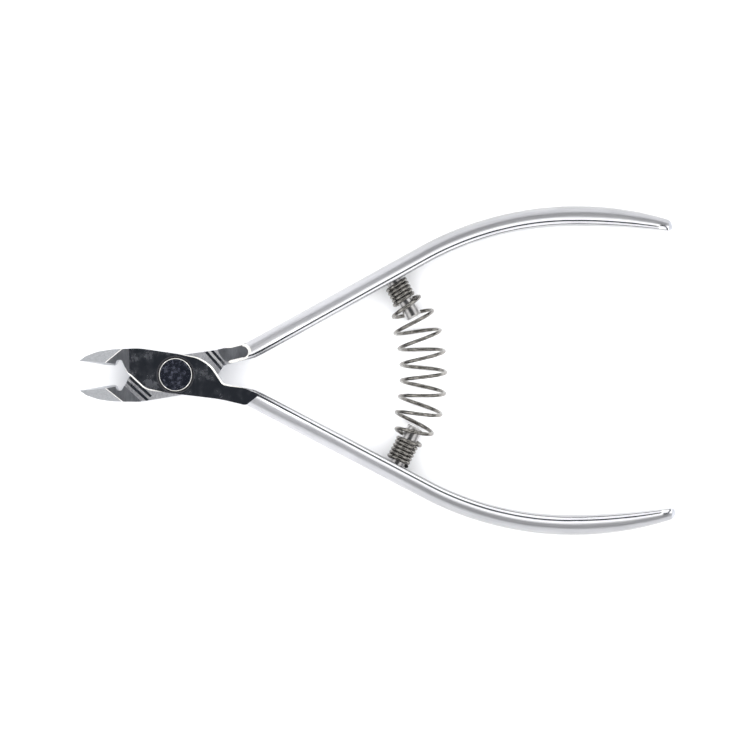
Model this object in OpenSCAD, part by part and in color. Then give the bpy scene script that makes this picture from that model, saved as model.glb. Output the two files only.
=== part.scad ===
// Cuticle nipper with a lap joint and one barrel spring.
// Origin on the pivot axis, on the rear face of the joint.
// +X runs to the handles, +Y to the upper handle, +Z out of the front face.

/* [Joint] */
// Diameter of the flush rivet head, which sets the size of both lap plates
rivet_head_diameter = 6.14; // [5.2:0.01:7.4]
// Diameter of the rivet's pin
pin_diameter = 3.6; // [2.8:0.1:4.4]
// Thickness of the joint, both plates together
box_thickness = 6.4; // [5.2:0.1:8]
// Gap between the two lap faces
lap_gap = 0.1; // [0.04:0.01:0.2]

/* [Jaws] */
// Distance from the pivot to the blade tips
jaw_reach = 18.2; // [15.4:0.1:24]
// Angle between the cutting edges at rest
opening_angle = 17; // [13:0.5:21]
// Thickness of a blade at its tip
tip_thickness = 1.3; // [0.8:0.1:2]

/* [Handles] */
// Distance from the pivot to the handle ends along the tool
handle_reach = 92.1; // [78:0.5:112]
// Angle of each straight handle part to the long axis
handle_angle = 28.4; // [25:0.2:31]
// Thickness of a handle seen from the front
handle_thickness = 3.3; // [2.8:0.1:4]
// Depth of a handle across its middle
handle_depth = 9.3; // [9.2:0.1:11]

/* [Spring] */
// Diameter of the studs that carry the spring
stud_diameter = 3; // [2.4:0.1:3.6]
// Length of each stud in front of the handle
stud_length = 7.6; // [6:0.1:9]
// Diameter of the spring wire
wire_diameter = 0.7; // [0.55:0.01:0.85]
// Outside diameter of the spring at its middle
barrel_diameter = 8.9; // [7.4:0.1:9]
// Closed coils on the upper stud
upper_coils = 4.5; // [3:0.5:6]
// Closed coils on the lower stud
lower_coils = 5.5; // [3:0.5:6]
// Open coils between the studs
open_coils = 9.2; // [7:0.1:10]

/* [Hidden] */
$fn = 96;
more = 1;
steel = [0.78, 0.79, 0.81];
dark_steel = [0.34, 0.35, 0.38];
wire_steel = [0.55, 0.54, 0.52];

// joint
k = rivet_head_diameter / 6.14;
middle = box_thickness / 2;
head_radius = rivet_head_diameter / 2;
head_depth = 0.19 * box_thickness;
rim_radius = head_radius * 1.14;
rim_depth = 0.45;
pin_radius = pin_diameter / 2;
running_fit = 0.03;

// jaws
half_opening = opening_angle / 2;
edge_direction = [-cos(half_opening), sin(half_opening)];
tip = jaw_reach * edge_direction;
heel_radius = 13.4 * k;
neck_x = -9.8 * k;
edge_relief = 0.45;
blade_grind = 2.1 * k;
edge_cut = 6;
corner_step = 5;

// handles
shank_corner = [13.1, 5.8] * k;
along = [cos(handle_angle), sin(handle_angle)];
outward = [-sin(handle_angle), cos(handle_angle)];
outer_radius = 0.6515 * handle_reach;
inner_radius = outer_radius - handle_thickness - 1.5;
end_radius = 1.41 * handle_reach;
end_angle = 17.8;
bend_x = handle_reach - outer_radius * (sin(end_angle) + sin(handle_angle));
straight_length = (bend_x - shank_corner[0]) / cos(handle_angle);
bend_start = shank_corner + straight_length * along;
outer_centre = bend_start - outer_radius * outward;
inner_start = bend_start - handle_thickness * outward;
inner_centre = inner_start - inner_radius * outward;
apex = inner_centre + [0, inner_radius];
end_centre = apex - [0, end_radius];
land_start = 0.45 * handle_thickness;
// where the shank's inner edge meets the handle's inner face
shank_inner = [8.82, 1.68] * k;
shank_slope = 0.227;
join_x = (shank_inner[1] - shank_slope * shank_inner[0] - inner_start[1] + tan(handle_angle) * inner_start[0])
  / (tan(handle_angle) - shank_slope);
join = [join_x, shank_inner[1] + shank_slope * (join_x - shank_inner[0])];
edge_chamfer = 0.45;
shank_step = 0.35;
end_round = 0.32 * handle_depth;
// neighbouring sweeps run into one another by a length, and stand apart by a hair there
lead = 0.6;
hair = 0.02;
// a length past every part of the tool
far = 60;

// spring
stud_radius = stud_diameter / 2;
tenon_radius = 0.6 * stud_radius;
tenon_length = 0.6 * handle_thickness;
stud_share = 0.805;
stud_base = shank_corner + stud_share * straight_length * along - (handle_thickness + hair) * outward;
closed_pitch = 1.05 * wire_diameter;
closed_radius = stud_radius + 0.05 + wire_diameter / 2;
barrel_radius = (barrel_diameter - wire_diameter) / 2;
seat = wire_diameter / 2 + 0.06;
upper_end = seat + upper_coils * closed_pitch;
lower_end = seat + lower_coils * closed_pitch;
arc_start = stud_base - upper_end * outward;
arc_radius = arc_start[1] / sin(handle_angle);
arc_centre_x = arc_start[0] - arc_radius * cos(handle_angle);
arc_length = arc_radius * handle_angle * PI / 90;
axis_length = 2 * upper_end + arc_length;
open_length = axis_length - upper_end - lower_end;
ramp = 1.5;
flare = 2.6;
flare_lead = 0.3;
open_pitch = closed_pitch + (open_length - open_coils * closed_pitch) / (open_coils - ramp);
all_coils = upper_coils + open_coils + lower_coils;
first_right = 0.72;
rings = 20;
sides = 8;

function unit(v) = v / norm(v);
function at(radius, angle) = radius * [cos(angle), sin(angle)];
function ease(x) = x <= 0 ? 0 : x >= 1 ? 1 : x * x * (3 - 2 * x);
function eased_area(x) = x <= 0 ? 0 : x >= 1 ? x - 0.5 : x * x * x - x * x * x * x / 2;

// The rounded corner at b between a and c.
function corner(a, b, c, r) =
  let(
    u = unit(a - b),
    v = unit(c - b),
    half = acos(u * v) / 2,
    reach = r / tan(half),
    hub = b + unit(u + v) * r / sin(half),
    p = b + u * reach - hub,
    q = b + v * reach - hub,
    from = atan2(p[1], p[0]),
    turn = atan2(q[1], q[0]) - from,
    short = turn > 180 ? turn - 360 : turn < -180 ? turn + 360 : turn,
    steps = max(2, ceil(abs(short) / corner_step))
  )
  r == 0 ? [b] : [for (i = [0:steps]) hub + at(r, from + short * i / steps)];

function flat(p) = [p[0], p[1]];

// Corners are [x, y, corner radius].
function rounded(points) =
  [for (i = [0:len(points) - 1])
    let(n = len(points), a = points[(i + n - 1) % n], b = points[i], c = points[(i + 1) % n])
    each corner(flat(a), flat(b), flat(c), b[2])];

function on_joint(points) = [for (p = points) p * k];

// A point between the blade's neck and its tip, by its share of that length.
function on_blade(share, y, r) = [neck_x + share * (tip[0] - neck_x), y * k, r];

function across_tool(p) = [p[0], -p[1]];

heel = heel_radius * edge_direction;

lever_corners = concat(
  [[tip[0], tip[1], 0.12],
   on_blade(0.8, 3.9, 2.5),
   on_blade(0.256, 4.78, 12)],
  on_joint([
    [-6.6, 4.95, 10],
    [5.81, 2.96, 5.6]]),
  [[shank_inner[0], -shank_inner[1], 0.8 * k],
   [join[0], -join[1], 1.5 * k],
   concat(across_tool(join + 0.7 * along + 0.1 * outward), 0)],
  on_joint([
    [13.1, -5.6, 0],
    [12.7, -5.72, 0.5],
    [8.2, -4.6, 20],
    [0.3, -3.55, 12],
    [-5.52, -2.73, 3],
    [-8.85, 0.44, 1],
    [-9.9, 2.83, 0.3],
    [-10.75, 2.8, 0.25]]),
  [concat(11.35 * k * edge_direction + [0, 0.12 * k], 0.25),
   concat(heel, 0)]);

module lever_plan() {
  polygon(rounded(lever_corners));
}

// The hollow that takes the other lever's plate, between its two shoulders.
module lap_plan() {
  difference() {
    polygon(on_joint([
      [-13.55, -1.8], [-4.2, 6.8], [9, 9], [13, -2], [10.2, -2.05], [8.1, -3.95], [7.9, -9], [-9, -9]]));
    translate([10.95, -5.05] * k) circle(3.1 * k);
  }
}

// Two shallow relief grooves along each shoulder of the hollow: place, angle, side and distances.
module shoulder_grooves() {
  width = 0.5;
  depth = 0.35;
  reach = 10 * k;
  blade_side = [-8.25, 0.45, 42.6, 1];
  handle_side = [6.6, -2.55, 49, -1];
  for (line = [
      concat(blade_side, 0.2), concat(blade_side, 1.15),
      concat(handle_side, 0.3), concat(handle_side, 1.25)])
    translate([line[0], line[1]] * k)
      rotate([0, 0, line[2]])
        translate([-reach / 2, line[3] * line[4] * k - width / 2, middle - lap_gap / 2 - depth])
          cube([reach, width, depth + more]);
}

// The space beyond the ridge where a ground facet falls to the tip.
module facet_space() {
  ridge = on_joint([[-13.25, 2.13], [-10.05, 4.7]]);
  run = ridge[1] - ridge[0];
  across = unit([-run[1], run[0]]);
  fall = atan2(middle - tip_thickness / 2, (tip - ridge[0]) * across);
  translate([ridge[0][0], ridge[0][1], box_thickness])
    rotate([0, 0, atan2(run[1], run[0])])
      rotate([-fall, 0, 0])
        translate([-far / 2, 0, 0])
          cube([far, far, far]);
}

// The space beside the cutting edge, which leaves the edge at mid-thickness.
module edge_space() {
  relief = atan2(edge_relief, middle);
  translate([0, 0, middle])
    rotate([0, 0, 180 - half_opening])
      translate([heel_radius - blade_grind, 0, 0])
        rotate([relief, 0, 0])
          cube([far, edge_cut, far]);
}

module turned_over() {
  translate([0, 0, box_thickness])
    rotate([180, 0, 0])
      children();
}

module mirrored_in_depth() {
  children();
  translate([0, 0, box_thickness])
    mirror([0, 0, 1])
      children();
}

// Handle section: x runs inward from the crest of the back, y is depth.
module handle_section(inset) {
  half_depth = handle_depth / 2 - inset;
  full_depth = handle_depth / 2;
  back_radius = (full_depth * full_depth + land_start * land_start) / (2 * land_start);
  intersection() {
    translate([0, middle - half_depth]) square([handle_thickness + 1.8 - inset, 2 * half_depth]);
    union() {
      translate([back_radius + inset, middle]) circle(back_radius, $fn = 360);
      translate([land_start + inset, middle - half_depth]) square([handle_thickness + 2, 2 * half_depth]);
    }
  }
}

// Section of the cut that leaves the handle's flat inner face and its chamfers.
// x is measured from the inner face into the handle.
module inner_section(depth) {
  low = middle - handle_depth / 2;
  high = middle + handle_depth / 2;
  over = edge_chamfer + more;
  polygon([[-depth, low - more], [over, low - more], [0, low + edge_chamfer],
    [0, high - edge_chamfer], [over, high + more], [-depth, high + more]]);
}

// A bar along the straight part, drawn from a section whose x is outward.
module along_straight(start, length) {
  translate([start[0], start[1], 0])
    rotate([90, 0, 90 + handle_angle])
      linear_extrude(length)
        children();
}

module arc_sweep(centre, from, to) {
  translate([centre[0], centre[1], 0])
    rotate([0, 0, from])
      rotate_extrude(angle = to - from, $fn = 360)
        children();
}

module handle_bar() {
  difference() {
    union() {
      along_straight(shank_corner - 1.2 * k * along, straight_length + 1.2 * k + lead)
        mirror([1, 0]) handle_section(hair);
      arc_sweep(outer_centre, 90 - end_angle, 90 + handle_angle)
        translate([outer_radius, 0]) mirror([1, 0]) handle_section(0);
    }
    along_straight(inner_start - hair * outward - (straight_length + 9) * along, straight_length + 9 + lead)
      inner_section(6);
    arc_sweep(inner_centre, 89, 90 + handle_angle)
      translate([inner_radius, 0]) inner_section(8);
    arc_sweep(end_centre, 90 - end_angle, 90)
      translate([end_radius + hair, 0]) inner_section(8);
    handle_end_space();
    handle_taper_space();
    shank_inner_space();
  }
}

// Keeps the handle bar's start inside the shank's outline.
module shank_inner_space() {
  low = middle - handle_depth / 2 - more;
  translate([0, 0, low])
    linear_extrude(handle_depth + 2 * more)
      polygon([shank_inner, join, [join[0], -1], [shank_inner[0], -1]]);
}

// Rounds the end of the handle, seen from the side.
module handle_end_space() {
  translate([handle_reach - end_round, far, middle])
    rotate([90, 0, 0])
      linear_extrude(far)
        difference() {
          translate([0, -handle_depth]) square([end_round + more, 2 * handle_depth]);
          circle(end_round);
        }
}

// Takes the handle's depth down to the joint at one end and to a slim tip at the other.
module handle_taper_space() {
  extra = (handle_depth - box_thickness) / 2;
  slim = handle_depth / 2 - end_round;
  start = shank_corner[0] + 2 * k;
  full = start + 16;
  late = handle_reach - 26;
  mirrored_in_depth()
    translate([0, far, 0])
      rotate([90, 0, 0])
        linear_extrude(far)
          polygon([
            [-5, box_thickness - shank_step], [start, box_thickness - shank_step],
            [full, box_thickness + extra], [late, box_thickness + extra],
            [handle_reach + more, box_thickness + extra - slim],
            [handle_reach + more, 2 * box_thickness + extra], [-5, 2 * box_thickness + extra]]);
}

// Leaves a round-nosed flat on the shank's rear face.
module nose_space() {
  nose = [12.2, -4.4] * k;
  translate([0, 0, -more])
    linear_extrude(shank_step + more)
      difference() {
        translate([nose[0], -9 * k]) square([5 * k, 9 * k]);
        translate(nose) circle(1.5 * k);
      }
}

module stud_hole() {
  translate([stud_base[0], stud_base[1], middle])
    rotate([0, 0, handle_angle + 90])
      rotate([0, 90, 0])
        translate([0, 0, -more])
          cylinder(r = tenon_radius, h = tenon_length + more);
}

// Both levers are this forging; the second is turned over.
module lever() {
  difference() {
    union() {
      difference() {
        linear_extrude(box_thickness) lever_plan();
        translate([0, 0, -more])
          linear_extrude(middle + lap_gap / 2 + more) lap_plan();
        mirrored_in_depth() facet_space();
        mirrored_in_depth() edge_space();
        nose_space();
      }
      mirror([0, 1, 0]) handle_bar();
    }
    translate([0, 0, box_thickness]) mirror([0, 0, 1]) shoulder_grooves();
    mirror([0, 1, 0]) stud_hole();
    translate([0, 0, -more]) cylinder(r = pin_radius, h = box_thickness + 2 * more);
    translate([0, 0, box_thickness - head_depth]) cylinder(r = head_radius, h = head_depth + more);
    translate([0, 0, box_thickness - rim_depth])
      cylinder(r1 = head_radius + 0.06, r2 = rim_radius, h = rim_depth);
  }
}

module front_lever() {
  color(steel) lever();
}

module rear_lever() {
  color(steel) turned_over() lever();
}

// Press fit in the front plate, running fit in the rear plate.
module pivot_rivet() {
  edge = 0.15;
  free_head = head_radius - running_fit;
  free_pin = pin_radius - running_fit;
  free_depth = head_depth - running_fit;
  color(dark_steel)
    rotate_extrude()
      polygon([
        [0, 0], [free_head - edge, 0], [free_head, edge], [free_head, free_depth], [free_pin, free_depth],
        [free_pin, middle], [pin_radius, middle], [pin_radius, box_thickness - head_depth],
        [head_radius, box_thickness - head_depth], [head_radius, box_thickness - edge],
        [head_radius - edge, box_thickness], [0, box_thickness]]);
}

module stud() {
  tip_edge = 0.35;
  color(steel)
    translate([stud_base[0], stud_base[1], middle])
      rotate([0, 0, handle_angle - 90])
        rotate([0, 90, 0])
          rotate_extrude()
            polygon([
              [0, -tenon_length], [tenon_radius, -tenon_length], [tenon_radius, 0], [stud_radius, 0],
              [stud_radius, stud_length - tip_edge], [stud_radius - tip_edge, stud_length],
              [0, stud_length]]);
}

module upper_stud() {
  stud();
}

module lower_stud() {
  mirror([0, 1, 0]) stud();
}

// Spring axis: [x, y, angle of the outward normal] at a distance from the upper handle.
function spring_axis(s) =
  s < upper_end ? concat(stud_base - s * outward, handle_angle)
  : s > upper_end + arc_length ?
    [stud_base[0] + (axis_length - s) * sin(handle_angle),
     -stud_base[1] + (axis_length - s) * cos(handle_angle), -handle_angle]
  : let(turn = handle_angle - (s - upper_end) / arc_radius * 180 / PI)
    [arc_centre_x + arc_radius * cos(turn), arc_radius * sin(turn), turn];

// Distance along the axis after a number of turns.
function advance(turns) =
  let(t = turns - upper_coils, left = open_coils - t)
  seat + turns * closed_pitch
  + (open_pitch - closed_pitch) * ramp
    * (eased_area(t / ramp) - (left < ramp ? (t < 0 ? 0 : lost_area(left)) : 0));

// What the closing ramp takes off the steady pitch.
function lost_area(left) =
  (ramp - left) / ramp - (0.5 - eased_area(max(0, left) / ramp));

function coil_radius(turns) =
  let(t = turns - upper_coils + flare_lead, left = open_coils + 2 * flare_lead - t)
  closed_radius + (barrel_radius - closed_radius) * ease(t / flare) * ease(left / flare);

function wire_at(turns) =
  let(
    a = spring_axis(advance(turns)),
    r = coil_radius(turns),
    turn = 360 * (turns - upper_coils - first_right),
    out = r * cos(turn)
  )
  [a[0] + out * cos(a[2]), a[1] + out * sin(a[2]), middle + r * sin(turn)];

function wire_ring(turns) =
  let(
    centre = wire_at(turns),
    a = spring_axis(advance(turns)),
    run = unit(wire_at(turns + 0.01) - wire_at(turns - 0.01)),
    side = unit(cross(run, [a[0], a[1], middle] - centre)),
    up = cross(side, run)
  )
  [for (j = [0:sides - 1])
    let(turn = 360 * j / sides)
    centre + wire_diameter / 2 * (cos(turn) * up + sin(turn) * side)];

module coil_spring() {
  count = ceil(all_coils * rings);
  points = [for (i = [0:count]) each wire_ring(all_coils * i / count)];
  walls = [for (i = [0:count - 1], j = [0:sides - 1])
    let(a = i * sides + j, b = i * sides + (j + 1) % sides)
    each [[a, b, a + sides], [b, b + sides, a + sides]]];
  caps = [for (j = [1:sides - 2])
    each [[0, j + 1, j], [count * sides, count * sides + j, count * sides + j + 1]]];
  color(wire_steel) polyhedron(points, concat(walls, caps));
}

front_lever();
rear_lever();
pivot_rivet();
upper_stud();
lower_stud();
coil_spring();
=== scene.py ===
# %% [markdown]
# # A cuticle nipper in polished steel
# Two forged levers cross at a rivet and a barrel spring pushes their handles apart.
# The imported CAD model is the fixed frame: it says where each part is and how it moves.
# This lesson gives the parts their ground, brushed and polished looks. All lengths are metres in the end,
# so the sizes below are written in millimetres and multiplied by MM.

from math import atan2, ceil, copysign, cos, degrees, hypot, pi, radians, sin, sqrt, tan

import bmesh
import bpy
from mathutils import Matrix, Vector


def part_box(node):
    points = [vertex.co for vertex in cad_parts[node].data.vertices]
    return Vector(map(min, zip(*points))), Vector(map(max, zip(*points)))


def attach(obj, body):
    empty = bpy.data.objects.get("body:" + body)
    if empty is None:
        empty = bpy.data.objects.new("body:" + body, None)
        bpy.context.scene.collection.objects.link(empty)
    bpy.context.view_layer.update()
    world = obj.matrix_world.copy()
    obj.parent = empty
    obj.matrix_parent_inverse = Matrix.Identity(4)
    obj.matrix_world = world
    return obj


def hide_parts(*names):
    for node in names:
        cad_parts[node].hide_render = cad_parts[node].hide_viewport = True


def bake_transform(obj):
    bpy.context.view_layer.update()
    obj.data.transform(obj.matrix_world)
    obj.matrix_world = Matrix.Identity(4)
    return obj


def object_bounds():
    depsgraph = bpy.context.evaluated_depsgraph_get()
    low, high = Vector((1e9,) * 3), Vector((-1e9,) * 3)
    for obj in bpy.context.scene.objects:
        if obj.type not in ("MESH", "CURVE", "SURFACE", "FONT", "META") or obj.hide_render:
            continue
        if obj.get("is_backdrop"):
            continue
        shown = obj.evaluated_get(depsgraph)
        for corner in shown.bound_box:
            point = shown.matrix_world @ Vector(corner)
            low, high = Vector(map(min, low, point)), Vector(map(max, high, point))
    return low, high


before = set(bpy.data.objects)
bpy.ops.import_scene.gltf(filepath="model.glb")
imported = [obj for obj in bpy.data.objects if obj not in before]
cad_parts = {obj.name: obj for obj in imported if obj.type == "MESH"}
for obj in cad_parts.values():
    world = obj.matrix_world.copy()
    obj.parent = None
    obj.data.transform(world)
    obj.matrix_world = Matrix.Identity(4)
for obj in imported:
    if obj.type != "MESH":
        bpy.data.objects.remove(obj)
low_at_start, high_at_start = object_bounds()
MM = 0.001
print("CAD nodes:", ", ".join(sorted(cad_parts)))

# %% [markdown]
# ## Sizes from the frame
# The rivet stands on the pivot axis and is as thick as the joint, so its box gives the two sizes that
# the whole joint follows. The levers' box gives the reach of the jaws and handles.
# Reading them from the frame, and not typing them again, keeps both models the same size.

# %% Sizes of the joint and the handles
_, rivet_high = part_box("pivot_rivet")
lever_low, lever_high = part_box("front_lever")
HEAD_RADIUS = rivet_high.x
JOINT_DEPTH = rivet_high.z
MIDDLE = JOINT_DEPTH / 2
HANDLE_END_X = lever_high.x
HANDLE_HALF_DEPTH = lever_high.z - MIDDLE
K = HEAD_RADIUS / 3.07
LAP_GAP = 0.1 * MM
PIN_RADIUS = 1.8 * MM
HEAD_SEAT = 0.19 * JOINT_DEPTH
print(f"joint {JOINT_DEPTH / MM:.2f} mm thick, rivet head {2 * HEAD_RADIUS / MM:.2f} mm across")
print(f"handles reach {HANDLE_END_X / MM:.2f} mm from the pivot, {2 * HANDLE_HALF_DEPTH / MM:.2f} mm deep")

# %% Sizes of the jaws
HALF_OPENING = radians(8.5)
EDGE_DIRECTION = Vector((-cos(HALF_OPENING), sin(HALF_OPENING)))
JAW_REACH = 18.2 * MM
JAW_TIP = EDGE_DIRECTION * JAW_REACH
HEEL = EDGE_DIRECTION * (13.4 * K)
NECK_X = -9.8 * K
TIP_THICKNESS = 1.3 * MM
EDGE_RELIEF = 0.45 * MM
print(f"blade tip at {JAW_TIP.x / MM:.2f}, {JAW_TIP.y / MM:.2f} mm")

# %% Sizes of the handles
HANDLE_ANGLE = radians(28.4)
HANDLE_THICKNESS = 3.3 * MM
SHANK_CORNER = Vector((13.1, 5.8)) * K
OUTER_RADIUS = 0.6515 * HANDLE_END_X
INNER_RADIUS = OUTER_RADIUS - HANDLE_THICKNESS - 1.5 * MM
END_RADIUS = 1.41 * HANDLE_END_X
END_ANGLE = radians(17.8)
ALONG = Vector((cos(HANDLE_ANGLE), sin(HANDLE_ANGLE)))
OUTWARD = Vector((-sin(HANDLE_ANGLE), cos(HANDLE_ANGLE)))
BEND_X = HANDLE_END_X - OUTER_RADIUS * (sin(END_ANGLE) + sin(HANDLE_ANGLE))
STRAIGHT_LENGTH = (BEND_X - SHANK_CORNER.x) / cos(HANDLE_ANGLE)
BEND_START = SHANK_CORNER + ALONG * STRAIGHT_LENGTH
OUTER_CENTRE = BEND_START - OUTWARD * OUTER_RADIUS
INNER_CENTRE = BEND_START - OUTWARD * (HANDLE_THICKNESS + INNER_RADIUS)
END_CENTRE = INNER_CENTRE + Vector((0, INNER_RADIUS - END_RADIUS))
print(f"straight part {STRAIGHT_LENGTH / MM:.1f} mm, then a bend of radius {OUTER_RADIUS / MM:.1f} mm")

# %% [markdown]
# ## Shared effects
# Every steel surface here shows the same two things at different scales: fine lines left by a belt or
# a drawing die, and cloudy patches where fingers and polish have changed the gloss.
# They could be drawn again in each material, or made once as node groups with named inputs.
# Groups are chosen, so one improvement reaches every surface.

# %% Helpers for node trees
def start_group(name, inputs, output):
    """A shader node group with value or vector inputs and one value output."""
    group = bpy.data.node_groups.new(name, "ShaderNodeTree")
    for label, kind, value in inputs:
        socket = group.interface.new_socket(label, in_out="INPUT", socket_type=kind)
        if value is not None:
            socket.default_value = value
    group.interface.new_socket(output, in_out="OUTPUT", socket_type="NodeSocketFloat")
    return group, group.nodes.new("NodeGroupInput"), group.nodes.new("NodeGroupOutput")


def add_node(tree, kind, **values):
    """A new node with its settings."""
    node = tree.nodes.new(kind)
    for label, value in values.items():
        setattr(node, label, value)
    return node


# %% Group: fine lines
def make_fine_lines():
    """Noise drawn out along one direction. Density says how many lines go to a metre each way."""
    group, given, result = start_group(
        "fine_lines",
        [("Vector", "NodeSocketVector", None), ("Density", "NodeSocketVector", (1.0, 1.0, 1.0))],
        "Lines",
    )
    stretch = add_node(group, "ShaderNodeVectorMath", operation="MULTIPLY")
    noise = add_node(group, "ShaderNodeTexNoise")
    noise.inputs["Scale"].default_value = 1.0
    noise.inputs["Detail"].default_value = 3.0
    noise.inputs["Roughness"].default_value = 0.6
    spread = add_node(group, "ShaderNodeMapRange")
    spread.inputs["From Min"].default_value = 0.3
    spread.inputs["From Max"].default_value = 0.7
    group.links.new(given.outputs["Vector"], stretch.inputs[0])
    group.links.new(given.outputs["Density"], stretch.inputs[1])
    group.links.new(stretch.outputs[0], noise.inputs["Vector"])
    group.links.new(noise.outputs[0], spread.inputs["Value"])
    group.links.new(spread.outputs[0], result.inputs["Lines"])
    return group


fine_lines = make_fine_lines()


# %% Group: cloudy patches
def make_cloudy_patches():
    """Soft patches with a ragged edge. Size is how many patches go to a metre, Cover how much they take."""
    group, given, result = start_group(
        "cloudy_patches",
        [
            ("Vector", "NodeSocketVector", None),
            ("Size", "NodeSocketFloat", 300.0),
            ("Cover", "NodeSocketFloat", 0.5),
        ],
        "Patches",
    )
    noise = add_node(group, "ShaderNodeTexNoise")
    noise.inputs["Detail"].default_value = 6.0
    noise.inputs["Roughness"].default_value = 0.65
    edge = add_node(group, "ShaderNodeMath", operation="SUBTRACT")
    edge.inputs[0].default_value = 1.0
    spread = add_node(group, "ShaderNodeMapRange", interpolation_type="SMOOTHSTEP")
    spread.inputs["To Max"].default_value = 1.0
    top = add_node(group, "ShaderNodeMath", operation="ADD")
    top.inputs[1].default_value = 0.25
    bottom = add_node(group, "ShaderNodeMath", operation="SUBTRACT")
    bottom.inputs[1].default_value = 0.1
    group.links.new(given.outputs["Vector"], noise.inputs["Vector"])
    group.links.new(given.outputs["Size"], noise.inputs["Scale"])
    group.links.new(given.outputs["Cover"], edge.inputs[1])
    group.links.new(edge.outputs[0], bottom.inputs[0])
    group.links.new(edge.outputs[0], top.inputs[0])
    group.links.new(noise.outputs[0], spread.inputs["Value"])
    group.links.new(bottom.outputs[0], spread.inputs["From Min"])
    group.links.new(top.outputs[0], spread.inputs["From Max"])
    group.links.new(spread.outputs[0], result.inputs["Patches"])
    return group


cloudy_patches = make_cloudy_patches()
print("node groups:", fine_lines.name, cloudy_patches.name)


# %% [markdown]
# ## The steel finishes
# A steel finish is its tone, its gloss and the grain that breaks the gloss up. The same few nodes serve
# each one: lines and patches both push the roughness up from a polished value to a duller one, tint the
# tone a little and raise a slight bump. A function with the amounts as arguments is shorter than ten
# separate node trees, and shows at a glance how the finishes differ.

# %% The steel recipe
PER_MM = 1000.0


def steel(name, tone, dull_tone, gloss, grain, patches, bump):
    """gloss is the polished roughness, then what patches and lines add. grain is lines to a millimetre
    each way. patches is how many go to a millimetre, and how much they cover."""
    material = bpy.data.materials.new(name)
    material.use_nodes = True
    tree = material.node_tree
    shader = tree.nodes["Principled BSDF"]
    shader.inputs["Metallic"].default_value = 1.0
    place = add_node(tree, "ShaderNodeTexCoord")
    lines = add_node(tree, "ShaderNodeGroup", node_tree=fine_lines)
    lines.inputs["Density"].default_value = [count * PER_MM for count in grain]
    clouds = add_node(tree, "ShaderNodeGroup", node_tree=cloudy_patches)
    clouds.inputs["Size"].default_value = patches[0] * PER_MM
    clouds.inputs["Cover"].default_value = patches[1]
    tree.links.new(place.outputs["Object"], lines.inputs["Vector"])
    tree.links.new(place.outputs["Object"], clouds.inputs["Vector"])

    polished, by_patches, by_lines = gloss
    dulled = add_node(tree, "ShaderNodeMath", operation="MULTIPLY_ADD")
    dulled.inputs[1].default_value = by_patches
    dulled.inputs[2].default_value = polished
    lined = add_node(tree, "ShaderNodeMath", operation="MULTIPLY_ADD")
    lined.inputs[1].default_value = by_lines
    tree.links.new(clouds.outputs["Patches"], dulled.inputs[0])
    tree.links.new(lines.outputs["Lines"], lined.inputs[0])
    tree.links.new(dulled.outputs[0], lined.inputs[2])
    tree.links.new(lined.outputs[0], shader.inputs["Roughness"])

    tint = add_node(tree, "ShaderNodeMix", data_type="RGBA")
    tint.inputs["A"].default_value = (*tone, 1)
    tint.inputs["B"].default_value = (*dull_tone, 1)
    tree.links.new(lines.outputs["Lines"], tint.inputs["Factor"])
    tree.links.new(tint.outputs["Result"], shader.inputs["Base Color"])

    relief = add_node(tree, "ShaderNodeBump")
    relief.inputs["Strength"].default_value = bump
    relief.inputs["Distance"].default_value = 0.01 * MM
    tree.links.new(lines.outputs["Lines"], relief.inputs["Height"])
    tree.links.new(relief.outputs["Normal"], shader.inputs["Normal"])
    return material


# %% Finishes of the joint, jaws, rivet and studs, with a painted edge highlight and a painted gap shade
lap_polish = steel(
    "lap_polish",
    tone=(0.55, 0.56, 0.60),
    dull_tone=(0.44, 0.45, 0.50),
    gloss=(0.10, 0.22, 0.10),
    grain=(1.6, 0.3, 1),
    patches=(0.4, 0.5),
    bump=0.25,
)
facet_grind = steel(
    "facet_grind",
    tone=(0.62, 0.63, 0.65),
    dull_tone=(0.44, 0.45, 0.47),
    gloss=(0.42, 0.06, 0.08),
    grain=(1.4, 6, 6),
    patches=(0.5, 0.5),
    bump=0.5,
)
recess_mill = steel(
    "recess_mill",
    tone=(0.86, 0.86, 0.87),
    dull_tone=(0.56, 0.56, 0.58),
    gloss=(0.50, 0.08, 0.10),
    grain=(3, 2.2, 3),
    patches=(0.7, 0.5),
    bump=0.5,
)
land_grind = steel(
    "land_grind",
    tone=(0.95, 0.95, 0.94),
    dull_tone=(0.80, 0.80, 0.80),
    gloss=(0.60, 0.08, 0.10),
    grain=(3, 3, 3),
    patches=(0.7, 0.5),
    bump=0.4,
)
# painted highlight: the chamfers are real and catch the light, and this much lighter tone painted on them
# makes the lines brighter
painted_edge_highlight = steel(
    "painted_edge_highlight",
    tone=(0.86, 0.85, 0.82),
    dull_tone=(0.72, 0.71, 0.68),
    gloss=(0.16, 0.08, 0.06),
    grain=(2, 2, 2),
    patches=(0.8, 0.4),
    bump=0.2,
)
rivet_polish = steel(
    "rivet_polish",
    tone=(0.46, 0.48, 0.60),
    dull_tone=(0.16, 0.17, 0.24),
    gloss=(0.09, 0.26, 0.14),
    grain=(6, 6, 6),
    patches=(1.8, 0.5),
    bump=0.45,
)
jaw_satin = steel(
    "jaw_satin",
    tone=(0.52, 0.53, 0.56),
    dull_tone=(0.34, 0.35, 0.38),
    gloss=(0.30, 0.08, 0.10),
    grain=(2.2, 0.5, 1),
    patches=(0.5, 0.5),
    bump=0.4,
)
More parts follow.
